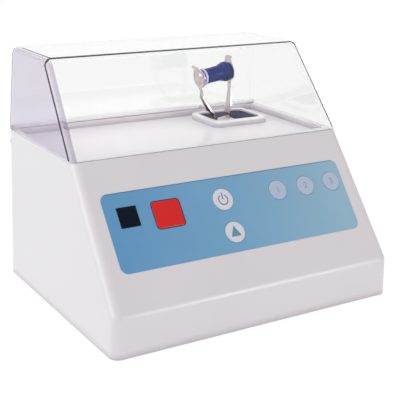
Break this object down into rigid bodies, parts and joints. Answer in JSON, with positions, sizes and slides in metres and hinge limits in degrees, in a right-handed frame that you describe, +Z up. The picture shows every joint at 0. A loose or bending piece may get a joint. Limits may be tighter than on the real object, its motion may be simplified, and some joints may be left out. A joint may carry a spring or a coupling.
{
  "type": "dental amalgamator",
  "caption": "Bench-top capsule mixer: wedge-shaped white housing with a sloping key panel and a hinged clear lid over a sprung fork that shakes a capsule.",
  "frame": {"origin": "centre of the whole object's footprint box, on the surface that the feet stand on", "axes": "+Z up, front panel faces -Y, +X to the right seen from the front"},
  "size_m": [0.21, 0.168, 0.1624],
  "materials": {
    "housing_white": "fine moulded texture, satin white ABS",
    "base_grey": "plain moulded grey",
    "foot_rubber": "matt black rubber",
    "mount_rubber": "soft black rubber",
    "screw_steel": "zinc plated steel",
    "tub_dark": "dark blue-grey moulded liner",
    "lid_clear": "clear polished acrylic",
    "hinge_white": "white moulded bar",
    "overlay_blue": "printed polyester overlay, light satin",
    "window_red": "translucent red filter",
    "badge_dark": "dark bare tile",
    "button_white": "white keys",
    "button_pale": "pale translucent keys",
    "circuit_green": "soldermask",
    "component_black": "moulded components",
    "copper": "enamelled copper",
    "core_steel": "laminated steel",
    "motor_steel": "plated steel can",
    "cast_bell": "die-cast end bells",
    "ferrite": "sintered ferrite",
    "bearing_steel": "polished bearing steel",
    "cradle_steel": "folded plate",
    "spring_steel": "spring wire",
    "journal_brass": "turned brass",
    "yoke_nylon": "white nylon",
    "arm_steel": "pressed stainless strip",
    "capsule_blue": "deep blue polypropylene",
    "capsule_pale": "pale lavender",
    "capacitor_sleeve": "shrink sleeve",
    "fuse_glass": "glass tube fuse",
    "inlet_black": "black moulded inlet",
    "contact_brass": "nickel plated blades"
  },
  "bodies": {
    "housing": {"housing_shell": "housing_white", "base_plate": "base_grey", "rubber_feet": "foot_rubber", "base_screws": "screw_steel", "chamber_tub": "tub_dark", "tub_screws": "screw_steel", "hinge_pins": "screw_steel", "panel_overlay": "overlay_blue", "display_window": "window_red", "badge_tile": "badge_dark", "control_board": "circuit_green", "display_module": "component_black", "key_switches": "component_black", "board_screws": "screw_steel", "power_board": "circuit_green", "transformer_core": "core_steel", "transformer_winding": "copper", "smoothing_capacitors": "capacitor_sleeve", "heat_sink": "cast_bell", "inlet_socket": "inlet_black", "inlet_blades": "contact_brass", "inlet_screws": "screw_steel", "motor_can": "motor_steel", "motor_front_bell": "cast_bell", "motor_rear_bell": "cast_bell", "motor_magnets": "ferrite", "motor_bearings": "bearing_steel", "motor_brushes": "component_black", "motor_cradle": "cradle_steel", "motor_straps": "cradle_steel", "vibration_mounts": "mount_rubber", "cradle_screws": "screw_steel", "tail_spring": "spring_steel", "reed_sensor": "component_black"},
    "rotor": {"motor_shaft": "bearing_steel", "armature_core": "core_steel", "armature_windings": "copper", "commutator": "copper", "canted_bush": "journal_brass", "retaining_screw": "screw_steel"},
    "fork": {"fork_bearing": "bearing_steel", "fork_yoke": "yoke_nylon", "arm_roots": "arm_steel", "arm_screws": "screw_steel"},
    "left_arm": {"left_arm": "arm_steel"},
    "right_arm": {"right_arm": "arm_steel"},
    "capsule": {"capsule_body": "capsule_blue", "capsule_plunger": "capsule_pale"},
    "lid": {"lid_shell": "lid_clear", "hinge_bar": "hinge_white", "hinge_bar_screws": "screw_steel", "lid_magnet": "bearing_steel"},
    "power_button": {"power_button": "button_white"},
    "start_button": {"start_button": "button_white"},
    "preset_button_1": {"preset_button_1": "button_pale"},
    "preset_button_2": {"preset_button_2": "button_pale"},
    "preset_button_3": {"preset_button_3": "button_pale"},
    "fuse_drawer": {"fuse_drawer": "inlet_black", "fuse": "fuse_glass"}
  },
  "joints": [
    {"name": "lid_hinge", "type": "hinge", "parent": "housing", "child": "lid", "pos_m": [0, 0.0793, 0.0972], "axis": [-1, 0, 0], "range_deg": [0, 100]},
    {"name": "motor_spin", "type": "hinge", "parent": "housing", "child": "rotor", "pos_m": [0.0576, 0.049, 0.057], "axis": [1, 0, 0], "continuous": true},
    {"name": "fork_spin", "type": "hinge", "parent": "rotor", "child": "fork", "pos_m": [0.0576, 0.049, 0.057], "axis": [0.9903, 0.0337, 0.135], "continuous": true, "deforming": ["tail_spring"]},
    {"name": "left_arm_flex", "type": "hinge", "parent": "fork", "child": "left_arm", "pos_m": [0.04557, 0.0487, 0.1038], "axis": [0.0337, -0.9994, 0.0023], "range_deg": [0, 5], "stiffness_Nm_per_rad": 0.8},
    {"name": "right_arm_flex", "type": "hinge", "parent": "fork", "child": "right_arm", "pos_m": [0.05666, 0.04908, 0.10532], "axis": [-0.0337, 0.9994, -0.0023], "range_deg": [0, 5], "stiffness_Nm_per_rad": 0.8},
    {"name": "capsule_lift", "type": "slide", "parent": "fork", "child": "capsule", "axis": [-0.135, -0.0023, 0.9908], "range_m": [0, 0.01]},
    {"name": "power_button_press", "type": "slide", "parent": "housing", "child": "power_button", "axis": [0, 0.7914, -0.6113], "range_m": [0, 0.0006], "stiffness_N_per_m": 3300},
    {"name": "start_button_press", "type": "slide", "parent": "housing", "child": "start_button", "axis": [0, 0.7914, -0.6113], "range_m": [0, 0.0006], "stiffness_N_per_m": 3300},
    {"name": "preset_button_1_press", "type": "slide", "parent": "housing", "child": "preset_button_1", "axis": [0, 0.7914, -0.6113], "range_m": [0, 0.0006], "stiffness_N_per_m": 3300},
    {"name": "preset_button_2_press", "type": "slide", "parent": "housing", "child": "preset_button_2", "axis": [0, 0.7914, -0.6113], "range_m": [0, 0.0006], "stiffness_N_per_m": 3300},
    {"name": "preset_button_3_press", "type": "slide", "parent": "housing", "child": "preset_button_3", "axis": [0, 0.7914, -0.6113], "range_m": [0, 0.0006], "stiffness_N_per_m": 3300},
    {"name": "fuse_drawer_slide", "type": "slide", "parent": "housing", "child": "fuse_drawer", "axis": [0, 1, 0], "range_m": [0, 0.015]}
  ],
  "couplings": [
    {"joint": "fork_spin", "follows": "motor_spin", "ratio": -1}
  ]
}
